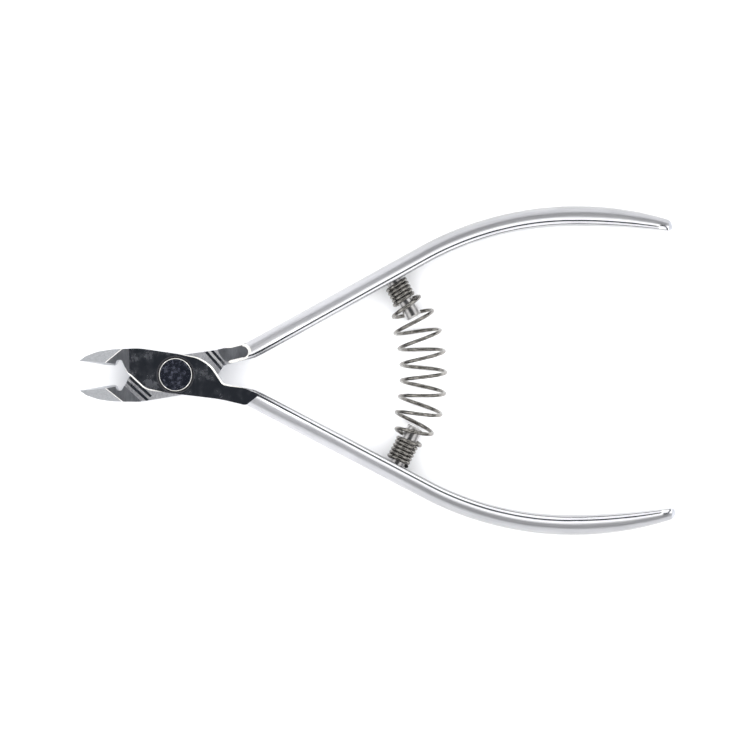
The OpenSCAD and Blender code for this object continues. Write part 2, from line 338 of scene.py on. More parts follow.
# painted shade: a near-black tone for the narrow ring gap round the rivet head, where shade falls
painted_gap_shade = steel(
    "painted_gap_shade",
    tone=(0.10, 0.10, 0.11),
    dull_tone=(0.05, 0.05, 0.06),
    gloss=(0.35, 0.10, 0.05),
    grain=(3, 3, 3),
    patches=(1, 0.5),
    bump=0.2,
)
stud_polish = steel(
    "stud_polish",
    tone=(0.58, 0.57, 0.56),
    dull_tone=(0.36, 0.35, 0.35),
    gloss=(0.26, 0.10, 0.08),
    grain=(0.8, 0.8, 4),
    patches=(0.8, 0.4),
    bump=0.3,
)
print("finishes so far:", ", ".join(m.name for m in bpy.data.materials))


# %% [markdown]
# ## The brushed handle
# A handle's back is brushed along its length and its narrow front and rear lands are polished.
# The finish changes across the bar, and so do bands of painted shade and painted highlight, so the material
# needs to know how far in from the back a point is.
# Object coordinates can't say that on a bent bar. Two numbers stored on each vertex while the bar is
# swept can: `across`, from 0 at the back to 1 at the inner face, and `along`, the distance from its start.

# %% Finish of the handles, with painted light and shade
# how light the steel is painted at a share of the way in from the back:
# a satin back, a painted darker band, painted highlights on the lands and a painted shade along the inner
# rim
PAINTED_LIGHT_BANDS = (
    (0.16, 0.42),
    (0.32, 0.45),
    (0.42, 0.34),
    (0.56, 0.35),
    (0.62, 0.56),
    (0.67, 0.86),
    (0.95, 0.84),
    (0.975, 0.3),
)


def make_brushed_handle_with_painted_light():
    material = bpy.data.materials.new("brushed_handle_with_painted_light")
    material.use_nodes = True
    tree = material.node_tree
    shader = tree.nodes["Principled BSDF"]
    shader.inputs["Metallic"].default_value = 1.0
    across = add_node(tree, "ShaderNodeAttribute", attribute_name="across")
    along = add_node(tree, "ShaderNodeAttribute", attribute_name="along")
    place = add_node(tree, "ShaderNodeTexCoord")
    depth = add_node(tree, "ShaderNodeSeparateXYZ")
    tree.links.new(place.outputs["Object"], depth.inputs[0])

    brushed = add_node(tree, "ShaderNodeCombineXYZ")
    tree.links.new(across.outputs["Fac"], brushed.inputs["X"])
    tree.links.new(along.outputs["Fac"], brushed.inputs["Y"])
    tree.links.new(depth.outputs["Z"], brushed.inputs["Z"])
    lines = add_node(tree, "ShaderNodeGroup", node_tree=fine_lines)
    lines.inputs["Density"].default_value = (26.0, 0.12 * PER_MM, 4 * PER_MM)
    tree.links.new(brushed.outputs[0], lines.inputs["Vector"])
    clouds = add_node(tree, "ShaderNodeGroup", node_tree=cloudy_patches)
    clouds.inputs["Size"].default_value = 0.25 * PER_MM
    clouds.inputs["Cover"].default_value = 0.5
    tree.links.new(place.outputs["Object"], clouds.inputs["Vector"])

    satin = add_node(tree, "ShaderNodeMapRange", interpolation_type="SMOOTHSTEP")
    satin.inputs["From Min"].default_value = 0.54
    satin.inputs["From Max"].default_value = 0.66
    satin.inputs["To Min"].default_value = 0.36
    satin.inputs["To Max"].default_value = 0.12
    tree.links.new(across.outputs["Fac"], satin.inputs["Value"])
    lined = add_node(tree, "ShaderNodeMath", operation="MULTIPLY_ADD")
    lined.inputs[1].default_value = 0.08
    tree.links.new(lines.outputs["Lines"], lined.inputs[0])
    tree.links.new(satin.outputs[0], lined.inputs[2])
    dulled = add_node(tree, "ShaderNodeMath", operation="MULTIPLY_ADD")
    dulled.inputs[1].default_value = 0.06
    tree.links.new(clouds.outputs["Patches"], dulled.inputs[0])
    tree.links.new(lined.outputs[0], dulled.inputs[2])
    tree.links.new(dulled.outputs[0], shader.inputs["Roughness"])

    # painted light and shade: the tone across the bar gives a darker band, lighter lands and a dark inner
    # rim and face
    tone = add_node(tree, "ShaderNodeValToRGB")
    ramp = tone.color_ramp
    ramp.elements[0].position = 0.0
    ramp.elements[0].color = (0.43, 0.43, 0.42, 1)
    ramp.elements[1].position = 1.0
    ramp.elements[1].color = (0.24, 0.24, 0.25, 1)
    for position, level in PAINTED_LIGHT_BANDS:
        element = ramp.elements.new(position)
        element.color = (level, level, level * 1.03, 1)
    tree.links.new(across.outputs["Fac"], tone.inputs[0])
    # painted light: the painted darker band is lightened on the straight part, fading out along the bow
    bowed = add_node(tree, "ShaderNodeMapRange", interpolation_type="SMOOTHSTEP")
    bowed.inputs["From Min"].default_value = 0.55 * STRAIGHT_LENGTH
    bowed.inputs["From Max"].default_value = 1.25 * STRAIGHT_LENGTH
    bowed.inputs["To Min"].default_value = 0.55
    bowed.inputs["To Max"].default_value = 0.0
    tree.links.new(along.outputs["Fac"], bowed.inputs["Value"])
    painted_band_lightening = add_node(tree, "ShaderNodeMix", data_type="RGBA", blend_type="LIGHTEN")
    painted_band_lightening.inputs["B"].default_value = (0.60, 0.60, 0.62, 1)
    tree.links.new(bowed.outputs[0], painted_band_lightening.inputs["Factor"])
    tree.links.new(tone.outputs[0], painted_band_lightening.inputs["A"])
    tint = add_node(tree, "ShaderNodeMix", data_type="RGBA", blend_type="MULTIPLY")
    tint.inputs["B"].default_value = (0.80, 0.80, 0.81, 1)
    tree.links.new(lines.outputs["Lines"], tint.inputs["Factor"])
    tree.links.new(painted_band_lightening.outputs["Result"], tint.inputs["A"])
    tree.links.new(tint.outputs["Result"], shader.inputs["Base Color"])

    relief = add_node(tree, "ShaderNodeBump")
    relief.inputs["Strength"].default_value = 0.3
    relief.inputs["Distance"].default_value = 0.01 * MM
    tree.links.new(lines.outputs["Lines"], relief.inputs["Height"])
    tree.links.new(relief.outputs["Normal"], shader.inputs["Normal"])
    return material


brushed_handle_with_painted_light = make_brushed_handle_with_painted_light()


# %% [markdown]
# ## Helpers for the pieces
# Every piece goes through the same three steps: a bmesh is shaped, it becomes a mesh whose sharp creases
# are marked, and an object holds it at the origin. Cuts that don't follow a plane are made with the
# Boolean modifier, applied at once, so what is left is a plain mesh.

# %% From bmesh to object
def to_object(bm, name, materials):
    """Frees the bmesh into a mesh with the given materials, held by an object at the origin."""
    mesh = bpy.data.meshes.new(name)
    bm.to_mesh(mesh)
    bm.free()
    for material in materials:
        mesh.materials.append(material)
    piece = bpy.data.objects.new(name, mesh)
    bpy.context.scene.collection.objects.link(piece)
    return piece


def finish_mesh(bm, name, materials, crease=radians(14)):
    """A smooth-shaded object with creases kept sharp where two faces meet at more than the given angle."""
    bmesh.ops.remove_doubles(bm, verts=bm.verts, dist=0.00002 * MM)
    bmesh.ops.dissolve_degenerate(bm, edges=bm.edges, dist=0.0005 * MM)
    bmesh.ops.recalc_face_normals(bm, faces=bm.faces)
    for face in bm.faces:
        face.smooth = True
    for edge in bm.edges:
        edge.smooth = len(edge.link_faces) == 2 and edge.calc_face_angle(0) < crease
    return to_object(bm, name, materials)


# %% A cut with a second shape
def passing_object(bm, name):
    """An object that lives for one cut. It has every finish, so material numbers keep their meaning."""
    bmesh.ops.recalc_face_normals(bm, faces=bm.faces)
    return to_object(bm, name, finishes)


def cut_away(bm, tool, finish):
    """Takes the closed shape `tool` away from bm. The faces it leaves get material number `finish`."""
    for face in tool.faces:
        face.material_index = finish
    body = passing_object(bm, "cut_body")
    cutter = passing_object(tool, "cut_tool")
    modifier = body.modifiers.new("cut", "BOOLEAN")
    modifier.operation = "DIFFERENCE"
    modifier.solver = "EXACT"
    modifier.object = cutter
    bpy.context.view_layer.update()
    graph = bpy.context.evaluated_depsgraph_get()
    left = bmesh.new()
    left.from_mesh(body.evaluated_get(graph).to_mesh())
    bpy.data.objects.remove(body)
    bpy.data.objects.remove(cutter)
    return left


# %% An outline with rounded corners, extruded
def rounded_outline(corners, height):
    """corners are (x, y, corner radius). Each corner is rounded by a vertex bevel."""
    bm = bmesh.new()
    verts = [bm.verts.new((x, y, height)) for x, y, _ in corners]
    bm.faces.new(verts)
    count = len(corners)
    for i, (x, y, radius) in enumerate(corners):
        before = Vector(corners[i - 1][:2]) - Vector((x, y))
        after = Vector(corners[(i + 1) % count][:2]) - Vector((x, y))
        half = before.angle(after) / 2
        if radius == 0:
            continue
        arc_steps = max(2, ceil((pi - 2 * half) / radians(6)))
        bmesh.ops.bevel(
            bm,
            geom=[verts[i]],
            offset=radius / tan(half),
            offset_type="OFFSET",
            segments=arc_steps,
            profile=0.5,
            affect="VERTICES",
            material=-1,
        )
    return bm


def rounded_slab(corners, low, high):
    bm = rounded_outline(corners, low)
    grown = bmesh.ops.extrude_face_region(bm, geom=bm.faces[:])
    top = [part for part in grown["geom"] if isinstance(part, bmesh.types.BMVert)]
    bmesh.ops.translate(bm, verts=top, vec=(0, 0, high - low))
    bmesh.ops.recalc_face_normals(bm, faces=bm.faces)
    return bm


# %% Sweep a ring along stations
def station_matrix(place, side, up, across, depth):
    """Takes a flat ring drawn in x and y to its place: x runs along `side`, y along `up`."""
    run = side.cross(up)
    columns = Matrix((side * across, up * depth, run * MM)).transposed().to_4x4()
    for row in range(3):
        columns[row][3] = place[row]
    return columns


def sweep(bm, ring_edges, matrices, tag=None, distances=()):
    """Extrudes the ring of edges once per matrix. `tag` is the vertex layer that takes the distances."""
    edges = list(ring_edges)
    last = matrices[0]
    verts = list(dict.fromkeys(vert for edge in edges for vert in edge.verts))
    bmesh.ops.transform(bm, matrix=last, verts=verts)
    for i, matrix in enumerate(matrices[1:], 1):
        grown = bmesh.ops.extrude_edge_only(bm, edges=edges)["geom"]
        verts = [part for part in grown if isinstance(part, bmesh.types.BMVert)]
        edges = [
            part
            for part in grown
            if isinstance(part, bmesh.types.BMEdge) and all(vert in verts for vert in part.verts)
        ]
        bmesh.ops.transform(bm, matrix=matrix @ last.inverted(), verts=verts)
        last = matrix
        if tag is not None:
            for vert in verts:
                vert[tag] = distances[i]
    return edges


def closed_ring(bm, points):
    """Vertices at points, joined in a ring."""
    verts = [bm.verts.new(point) for point in points]
    return [bm.edges.new((verts[i - 1], verts[i])) for i in range(len(verts))]


# %% [markdown]
# ## The joint plate and blade
# One forging carries a blade, half of the lap joint and a shank. On the real tool it is ground flat on
# both faces, hollowed to half thickness on one face, and its blade is ground to a facet on each side.
# It could be sculpted, but a ground part is a flat blank with cuts, so it is made like one here.
# A rounded outline is extruded and part of its rim is inset and lowered. Planes take the facets off,
# and shaped tools cut the rest.

# %% Outline of the plate
def on_joint(corners):
    return [(x * K, y * K, r * K) for x, y, r in corners]


def on_blade(share, y, radius):
    """A point at a share of the way from the blade's neck to its tip."""
    return (NECK_X + share * (JAW_TIP.x - NECK_X), y * K, radius * MM)


SHANK_INNER = Vector((8.82, 1.68)) * K
SHANK_SLOPE = 0.227
inner_start = BEND_START - OUTWARD * HANDLE_THICKNESS
join_x = (
    SHANK_INNER.y - SHANK_SLOPE * SHANK_INNER.x - inner_start.y + tan(HANDLE_ANGLE) * inner_start.x
) / (tan(HANDLE_ANGLE) - SHANK_SLOPE)
JOIN = Vector((join_x, SHANK_INNER.y + SHANK_SLOPE * (join_x - SHANK_INNER.x)))
leave_x = 12.4 * K
leave = Vector((leave_x, SHANK_INNER.y + SHANK_SLOPE * (leave_x - SHANK_INNER.x)))
flat_end = JOIN + ALONG * (0.75 * MM) + OUTWARD * (0.42 * MM)
bump = EDGE_DIRECTION * (11.35 * K) + Vector((0, 0.12 * K))
plate_corners = [
    (JAW_TIP.x, JAW_TIP.y, 0.05 * MM),
    on_blade(0.84, 3.64, 2.5),
    on_blade(0.56, 4.43, 6),
    on_blade(0.22, 4.8, 10),
    *on_joint([(-6.6, 4.95, 10), (5.81, 2.96, 5.6)]),
    (SHANK_INNER.x, -SHANK_INNER.y, 0.8 * K),
    (leave.x, -leave.y, 1.5 * K),
    (flat_end.x, -flat_end.y, 0.1 * MM),
    *on_joint([(13.1, -5.6, 0), (12.7, -5.72, 1), (8.2, -4.6, 20), (0.3, -3.55, 12), (-5.52, -2.73, 3)]),
    *on_joint([(-8.85, 0.44, 1), (-9.9, 2.83, 0.3), (-10.75, 2.8, 0.25)]),
    (bump.x, bump.y, 0.25 * MM),
    (HEEL.x, HEEL.y, 0),
]
print("corners in the outline:", len(plate_corners))

# %% Material numbers of a lever
finishes = [lap_polish, facet_grind, recess_mill, painted_edge_highlight, brushed_handle_with_painted_light, painted_gap_shade, jaw_satin, land_grind]
POLISHED, GROUND, MILLED, BRIGHT, BRUSHED, SHADED, SATIN, BRIGHT_LAND = range(8)


# %% A chamfer along part of the rim
def ramp(value, start, full):
    return min(1, max(0, (value - start) / (full - start)))


def ease(x):
    """From 0 to 1 with a soft start and end."""
    x = min(1, max(0, x))
    return x * x * (3 - 2 * x)


def sliding_rim(x, y):
    """How wide the chamfer is, from 0 to 1, on the two stretches that slide over the other lever."""
    if y > 3.1 - 0.62 * (x - 1):
        return ramp(x, 0.4, 5) * ramp(x, 12.9, 10)
    if y < 2.2:
        return 0.75 * ramp(x, -9.4, -8.2) * ramp(x, -2.2, -4.4)
    return 0


def shank_rim(x, y):
    end, most = (13.2, 1) if y > -4 else (12.9, 0.5)
    return most * ramp(x, 9.2, 10.2) * ramp(x, end, end - 0.4)


def chamfer_rim(bm, height, width, fall, share):
    """Insets the face at a height by next to nothing, then widens the new ring and lowers its outside."""
    level = [face for face in bm.faces if all(abs(vert.co.z - height) < 0.001 * MM for vert in face.verts)]
    for edge in level[0].edges[:]:
        cuts = int(edge.calc_length() / (0.6 * MM))
        if cuts:
            bmesh.ops.subdivide_edges(bm, edges=[edge], cuts=cuts)
    bmesh.ops.inset_region(bm, faces=level, thickness=0.01 * MM, use_even_offset=True)
    inner = set(level[0].verts)
    into = MIDDLE - height
    for vert in level[0].verts:
        for edge in vert.link_edges:
            rim = edge.other_vert(vert)
            if rim not in inner:
                part = share(rim.co.x / K, rim.co.y / K)
                vert.co += (vert.co - rim.co).normalized() * width * part
                rim.co.z += copysign(fall, into) * part
    ring = [face for face in bm.faces if face not in level and any(vert in inner for vert in face.verts)]
    tilted = [face for face in ring if any(abs(vert.co.z - height) > 0.0001 * MM for vert in face.verts)]
    # the chamfer's faces take the painted highlight tone
    for face in tilted:
        face.material_index = BRIGHT
    bmesh.ops.triangulate(bm, faces=tilted)
    print(f"rim at {height / MM:.1f} mm: {len(tilted)} faces of the chamfer")


# %% Facets of the blade
RIDGE = [Vector((-13.25, 2.13)) * K, Vector((-10.05, 4.7)) * K]
ROD_HALF_WIDTH = 0.16 * MM
ROD_HALF_HEIGHT = 0.08 * MM
ROD_LIFT = 0.02 * MM
# in millimetres, because station_matrix scales this way by MM
ROD_LENGTH = 8


def grind_facets(bm):
    """A plane through the ridge and the thin tip takes the facet off each side of the blade."""
    run = (RIDGE[1] - RIDGE[0]).normalized()
    across = Vector((-run.y, run.x))
    fall = atan2(MIDDLE - TIP_THICKNESS / 2, (JAW_TIP - RIDGE[0]).dot(across))
    for side, height in ((1, JOINT_DEPTH), (-1, 0)):
        normal = Vector((across.x * sin(fall), across.y * sin(fall), side * cos(fall)))
        cut = bmesh.ops.bisect_plane(
            bm,
            geom=bm.verts[:] + bm.edges[:] + bm.faces[:],
            dist=0.0001 * MM,
            plane_co=(RIDGE[0].x, RIDGE[0].y, height),
            plane_no=normal,
            clear_outer=True,
        )
        rim = [part for part in cut["geom_cut"] if isinstance(part, bmesh.types.BMEdge)]
        bmesh.ops.edgeloop_fill(bm, edges=rim, mat_nr=GROUND, use_smooth=False)
    print(f"facets fall {degrees(fall):.1f} degrees to the tip")


def ridge_tool(height):
    """A thin four-sided rod, half sunk along the facet's top edge, so that the edge catches the light."""
    run = (RIDGE[1] - RIDGE[0]).normalized()
    middle = (RIDGE[0] + RIDGE[1]) / 2
    bm = bmesh.new()
    bmesh.ops.create_cone(bm, cap_ends=True, segments=4, radius1=1, radius2=1, depth=ROD_LENGTH)
    above = copysign(ROD_LIFT, height - MIDDLE)
    place = station_matrix(
        Vector((*middle, height + above)),
        Vector((-run.y, run.x, 0)),
        Vector((0, 0, 1)),
        ROD_HALF_WIDTH,
        ROD_HALF_HEIGHT,
    )
    bmesh.ops.transform(bm, matrix=place, verts=bm.verts)
    return bm


# %% Tools for the other cuts
def box_tool(size, place):
    """A box with its corner at the origin before `place` puts it."""
    bm = bmesh.new()
    corner = Matrix.Translation((0.5, 0.5, 0.5))
    bmesh.ops.create_cube(bm, size=1, matrix=Matrix.Diagonal((*size, 1)) @ corner)
    bmesh.ops.transform(bm, matrix=place, verts=bm.verts)
    return bm


def disc_tool(x, y, low, high, radius_low, radius_high):
    bm = bmesh.new()
    bmesh.ops.create_cone(
        bm,
        cap_ends=True,
        segments=96,
        radius1=radius_low,
        radius2=radius_high,
        depth=high - low,
        matrix=Matrix.Translation((x, y, (low + high) / 2)),
    )
    return bm


def edge_tool(side):
    """The wedge that backs the blade's edge off from mid-thickness, in front (side 1) or behind (-1)."""
    relief = atan2(EDGE_RELIEF, MIDDLE)
    turn = Matrix.Rotation(pi - HALF_OPENING, 4, "Z")
    start = Matrix.Translation((HEEL.length - 2.1 * K, 0, 0))
    tilt = Matrix.Rotation(relief, 4, "X")
    wedge = box_tool((30 * MM, 6 * MM, 20 * MM), Matrix.Translation((0, 0, MIDDLE)) @ turn @ start @ tilt)
    if side < 0:
        bmesh.ops.transform(
            wedge,
            matrix=Matrix.Translation((0, 0, JOINT_DEPTH)) @ Matrix.Diagonal((1, 1, -1, 1)),
            verts=wedge.verts,
        )
    return wedge


# %% The hollow of the lap joint
LAP_FLOOR = MIDDLE + LAP_GAP / 2
lap_corners = [
    *on_joint([(-13.55, -1.8, 0), (-4.2, 6.8, 0), (9, 9, 0), (13, -2, 0)]),
    *on_joint([(10.2, -2.05, 0), (8.1, -3.95, 0), (7.9, -9, 0), (-9, -9, 0)]),
]


def lap_tool():
    """The hollow's handle side follows a round boss, so a round post is taken from the tool first."""
    hollow = rounded_slab(lap_corners, -1 * MM, LAP_FLOOR)
    boss_radius = 3.1 * K
    post = disc_tool(10.95 * K, -5.05 * K, -2 * MM, 9 * MM, boss_radius, boss_radius)
    return cut_away(hollow, post, MILLED)


# for a line along each shoulder: its place in the joint's own millimetres, its angle and its side,
# then how far from it the two grooves run
SHOULDERS = ((-8.25, 0.45, 42.6, 1, (0.2, 1.15)), (6.6, -2.55, 49, -1, (0.3, 1.25)))


def groove_tools():
    """Two relief grooves along each shoulder of the hollow."""
    width = 0.5 * MM
    depth = 0.35 * MM
    length = 10 * K
    for x, y, angle, side, distances in SHOULDERS:
        for distance in distances:
            place = (
                Matrix.Translation((x * K, y * K, 0))
                @ Matrix.Rotation(radians(angle), 4, "Z")
                @ Matrix.Translation((-length / 2, side * distance * K - width / 2, LAP_FLOOR - 1 * MM))
            )
            yield box_tool((length, width, depth + 1 * MM), place)


def nose_tools():
    """Leave the flat behind the shoulder standing proud, with a round soft-edged nose towards the handle."""
    nose = Vector((12.4, -4.06)) * K
    soft = 0.28 * MM
    wide = 1.6 * K
    narrow = wide - 0.55 * MM
    overlap = 0.02 * MM
    nose_height = 2.2 * MM
    for low, high, boss in (
        (-0.2 * MM, soft, (-soft, soft, 2 * narrow - wide, wide)),
        (soft - overlap, nose_height, (-1 * MM, 4 * MM, wide, wide)),
    ):
        block = box_tool((5 * K, 9 * K, high - low), Matrix.Translation((nose.x, -9 * K, low)))
        yield cut_away(block, disc_tool(nose.x, nose.y, *boss), BRIGHT)


# %% Satin and ground stretches
JAW_SATIN_X = -8.5 * K


def between_grooves(x, y):
    """The narrow lands between the relief grooves and against each shoulder."""
    for place_x, place_y, angle, side, distances in SHOULDERS:
        turn = radians(angle)
        across = side * (-(x - place_x) * sin(turn) + (y - place_y) * cos(turn))
        if side > 0 and distances[0] - 0.6 < across < distances[1] and x < -3:
            return True
        if side < 0 and distances[0] - 0.9 < across < distances[1] and x > 3 and x < 9.5:
            return True
    return False


def set_satin(bm):
    """The jaw's root and the shank's back are left satin, and the lands between the grooves are ground."""
    bmesh.ops.bisect_plane(
        bm,
        geom=bm.verts[:] + bm.edges[:] + bm.faces[:],
        dist=0.0001 * MM,
        plane_co=(JAW_SATIN_X, 0, 0),
        plane_no=(1, 0, 0),
    )
    bm.normal_update()
    satin = 0
    for face in bm.faces:
        centre = face.calc_center_median()
        if face.material_index == POLISHED and abs(face.normal.z) > 0.99:
            if centre.x < JAW_SATIN_X or centre.z < 0.1 * MM:
                face.material_index = SATIN
                satin += 1
        if abs(centre.z - LAP_FLOOR) < 0.01 * MM and between_grooves(centre.x / K, centre.y / K):
            face.material_index = BRIGHT_LAND
    print("satin faces:", satin)


# %% Cut the forging's flat part
def make_plate():
    bm = rounded_slab(plate_corners, 0, JOINT_DEPTH)
    chamfer_rim(bm, JOINT_DEPTH, 0.30 * MM, 0.14 * MM, sliding_rim)
    chamfer_rim(bm, 0, 0.55 * MM, 0.28 * MM, shank_rim)
    grind_facets(bm)
    # the ridge lines' cut faces take the painted highlight tone
    for height in (0, JOINT_DEPTH):
        bm = cut_away(bm, ridge_tool(height), BRIGHT)
    bm = cut_away(bm, lap_tool(), MILLED)
    bm = cut_away(bm, edge_tool(1), GROUND)
    bm = cut_away(bm, edge_tool(-1), GROUND)
    for groove in groove_tools():
        bm = cut_away(bm, groove, POLISHED)
    # the nose's cut faces take the painted highlight tone
    for block in nose_tools():
        bm = cut_away(bm, block, BRIGHT)
    ring_depth = 0.3 * MM
    ring_gap = 0.06 * MM
    ring_flare = 1.14
    above = JOINT_DEPTH + 1 * MM
    bm = cut_away(bm, disc_tool(0, 0, -1 * MM, above, PIN_RADIUS, PIN_RADIUS), MILLED)
    bm = cut_away(bm, disc_tool(0, 0, JOINT_DEPTH - HEAD_SEAT, above, HEAD_RADIUS, HEAD_RADIUS), MILLED)
    ring_radii = (HEAD_RADIUS + ring_gap, HEAD_RADIUS * ring_flare)
    cone = disc_tool(0, 0, JOINT_DEPTH - ring_depth, JOINT_DEPTH, *ring_radii)
    # the ring gap's cut faces take the painted shade
    bm = cut_away(bm, cone, SHADED)
    set_satin(bm)
    print("plate:", len(bm.faces), "faces,", sum(edge.is_boundary for edge in bm.edges), "open edges")
    return bm


# %% [markdown]
# ## The handle
# A handle is a forged bar: straight, then bowed, thinner at its end, with a rounded back and a soft roof
# along the front and the rear. It could be a curve with a bevel profile, but the bar's thickness and depth
# change on their own along its length. So one section is drawn once and extruded from station to station,
# and at each station a matrix turns, moves and stretches the new ring.

# %% The handle's section
def section_points():
    """(across, depth) of half a section, from the back's crest to the inner face. Both run from 0 to 1."""
    points = []
    back_width = 0.80
    back_top = 0.955
    for i in range(14):
        turn = radians(5 * i)
        points.append((back_width * (1 - cos(turn)), back_top * sin(turn)))
    ridge = 0.80
    roof = radians(24)
    shape = HANDLE_THICKNESS / HANDLE_HALF_DEPTH
    round_off = 0.15
    for i in range(-4, 5):
        turn = roof * i / 4
        points.append((ridge + round_off * sin(turn), 1 - shape * round_off * (1 - cos(turn))))
    slope = tan(roof) * shape
    inner = ridge + round_off * sin(roof)
    level = points[-1][1]
    points.append((0.94, level - (0.94 - inner) * slope))
    edge_top = points[-1][1]
    for turn in range(30, 91, 10):
        points.append((0.94 + 0.06 * sin(radians(turn)), edge_top - 0.04 * (1 - cos(radians(turn)))))
    return points


print("points in half a section:", len(section_points()))


# %% Stations along the handle
def circle_gap(point, inward, centre, radius):
    """Distance from point, going inward, to a circle around centre."""
    offset = point - centre
    b = offset.dot(inward)
    c = offset.length_squared - radius * radius
    return -b - sqrt(b * b - c) if c > 0 else -b + sqrt(b * b - c)


def bar_thickness(point, inward):
    """The inner face is straight, then a tighter arc to the top of the bow, then a wide arc to the end."""
    if point.x < BEND_START.x:
        shank_run = Vector((1, SHANK_SLOPE))
        to_shank = (SHANK_INNER - point).cross(shank_run) / inward.cross(shank_run)
        return min(HANDLE_THICKNESS, to_shank)
    centre, radius = (INNER_CENTRE, INNER_RADIUS) if point.x < OUTER_CENTRE.x else (END_CENTRE, END_RADIUS)
    return circle_gap(point, inward, centre, radius)


def bar_half_depth(x):
    """Shallow at the shank, full from a short way on, slimmer again to a rounded end."""
    shank = MIDDLE - 0.12 * MM
    full_x = SHANK_CORNER.x + 18 * MM
    rise = min(1, max(0, (x - SHANK_CORNER.x - 2 * MM) / (full_x - SHANK_CORNER.x - 2 * MM)))
    rise = ease(rise) * 0.4 + rise * 0.6
    end_round = 0.64 * HANDLE_HALF_DEPTH
    fall_x = HANDLE_END_X - 26 * MM
    fall = min(1, max(0, (x - fall_x) / (HANDLE_END_X - fall_x)))
    depth = shank + (HANDLE_HALF_DEPTH - shank) * rise
    depth -= (HANDLE_HALF_DEPTH - end_round) * fall * fall * (1.6 - 0.6 * fall)
    into_end = x - (HANDLE_END_X - end_round)
    if into_end > 0:
        depth *= sqrt(max(0, 1 - (into_end / end_round) ** 2))
    return max(depth, 0.05 * MM)


def stations():
    """(place, inward direction, thickness, half depth, distance) along the upper handle."""
    bars = []
    steps = 26
    for i in range(steps):
        place = SHANK_CORNER + ALONG * (STRAIGHT_LENGTH * i / steps - 3 * K * (1 - i / steps))
        bars.append((place, -OUTWARD))
    steps = 72
    end_steps = 24
    end_share = 0.93
    shares = [end_share * i / steps for i in range(steps)]
    shares += [1 - (1 - end_share) * (1 - sin(pi / 2 * i / end_steps)) for i in range(end_steps + 1)]
    for share in shares:
        turn = pi / 2 + HANDLE_ANGLE - (HANDLE_ANGLE + END_ANGLE) * share
        out = Vector((cos(turn), sin(turn)))
        bars.append((OUTER_CENTRE + out * OUTER_RADIUS, -out))
    distance = 0
    last = bars[0][0]
    for place, inward in bars:
        distance += (place - last).length
        last = place
        lean = min(1, max(0, 1 - (HANDLE_END_X - place.x) / (8 * MM)))
        inward = inward.lerp(Vector((0, -1)), ease(lean)).normalized()
        thickness = bar_thickness(place, inward)
        left = HANDLE_END_X - place.x
        end_round = 0.5 * thickness
        shrink = 1.0
        if left < end_round:
            shrink = sqrt(max(0.004, 1 - (1 - left / end_round) ** 2))
        middle = place + inward * thickness / 2
        back = middle - inward * (thickness * shrink / 2)
        yield back, inward, thickness * shrink, bar_half_depth(place.x), distance


# %% Build the handle of the front lever
END_SATIN = 0.9 * MM


def make_handle():
    bm = bmesh.new()
    across = bm.verts.layers.float.new("across")
    along = bm.verts.layers.float.new("along")
    front = section_points()
    rear = [(x, -y) for x, y in reversed(front[1:])]
    ring = closed_ring(bm, [(x, y, 0) for x, y in front + rear])
    for vert in bm.verts:
        vert[across] = vert.co.x
    places = list(stations())
    matrices = [
        station_matrix(
            Vector((place.x, -place.y, MIDDLE)),
            Vector((inward.x, -inward.y, 0)),
            Vector((0, 0, 1)),
            thickness,
            half,
        )
        for place, inward, thickness, half, _ in places
    ]
    start = bmesh.ops.edgeloop_fill(bm, edges=ring)["faces"]
    end_ring = sweep(bm, ring, matrices, along, [bar[4] for bar in places])
    end = bmesh.ops.edgeloop_fill(bm, edges=end_ring)["faces"]
    length = places[-1][4]
    for face in bm.faces:
        at_end = min(vert[along] for vert in face.verts) > length - END_SATIN
        face.material_index = SATIN if at_end else BRUSHED
    print(f"handle: {len(places)} stations, {len(bm.faces)} faces, closed with {len(start) + len(end)} ends")
    return bm


# %% Join the two shells of a lever
def make_lever():
    bm = make_plate()
    bm.verts.layers.float.new("across")
    bm.verts.layers.float.new("along")
    handle = make_handle()
    bmesh.ops.recalc_face_normals(handle, faces=handle.faces)
    mesh = bpy.data.meshes.new("handle_shell")
    handle.to_mesh(mesh)
    handle.free()
    bm.from_mesh(mesh)
    bpy.data.meshes.remove(mesh)
    return bm


def settle(piece, body, node):
    """The piece stands for a CAD node, which it hides, and moves with its body."""
    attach(piece, body)
    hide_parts(node)
    low = [min(vert.co[i] for vert in piece.data.vertices) / MM for i in range(3)]
    high = [max(vert.co[i] for vert in piece.data.vertices) / MM for i in range(3)]
    size = " x ".join(f"{b - a:.1f}" for a, b in zip(low, high))
    print(f"{piece.name}: {len(piece.data.polygons)} faces, {size} mm, rides on {body}")


lever = make_lever()
turned = lever.copy()
bmesh.ops.rotate(turned, verts=turned.verts, cent=(0, 0, MIDDLE), matrix=Matrix.Rotation(pi, 3, "X"))
front_lever = finish_mesh(lever, "front_lever_steel", finishes)
rear_lever = finish_mesh(turned, "rear_lever_steel", finishes)
settle(front_lever, "front_half", "front_lever")
settle(rear_lever, "rear_half", "rear_lever")


# %% [markdown]
# ## The rivet and the studs
# Both are turned parts: a profile spun round an axis. The rivet's two heads lie flush in their seats, and
# a narrow rounded edge on each catches the light as a bright ring, with a lighter tone painted on as a
# highlight. The studs are plain pins with softened tips, turned upright first and then moved to the handles.

# %% Spin a profile
def turned_part(profile):
    """profile is (radius, height) from axis to axis. The spin closes on itself and the poles are merged."""
    bm = bmesh.new()
    verts = [bm.verts.new((radius, 0, height)) for radius, height in profile]
    edges = [bm.edges.new(pair) for pair in zip(verts, verts[1:])]
    bmesh.ops.spin(
        bm,
        geom=verts + edges,
        cent=(0, 0, 0),
        axis=(0, 0, 1),
        angle=2 * pi,
        steps=120,
        use_merge=True,
    )
    bmesh.ops.remove_doubles(bm, verts=bm.verts, dist=0.0005 * MM)
    return bm


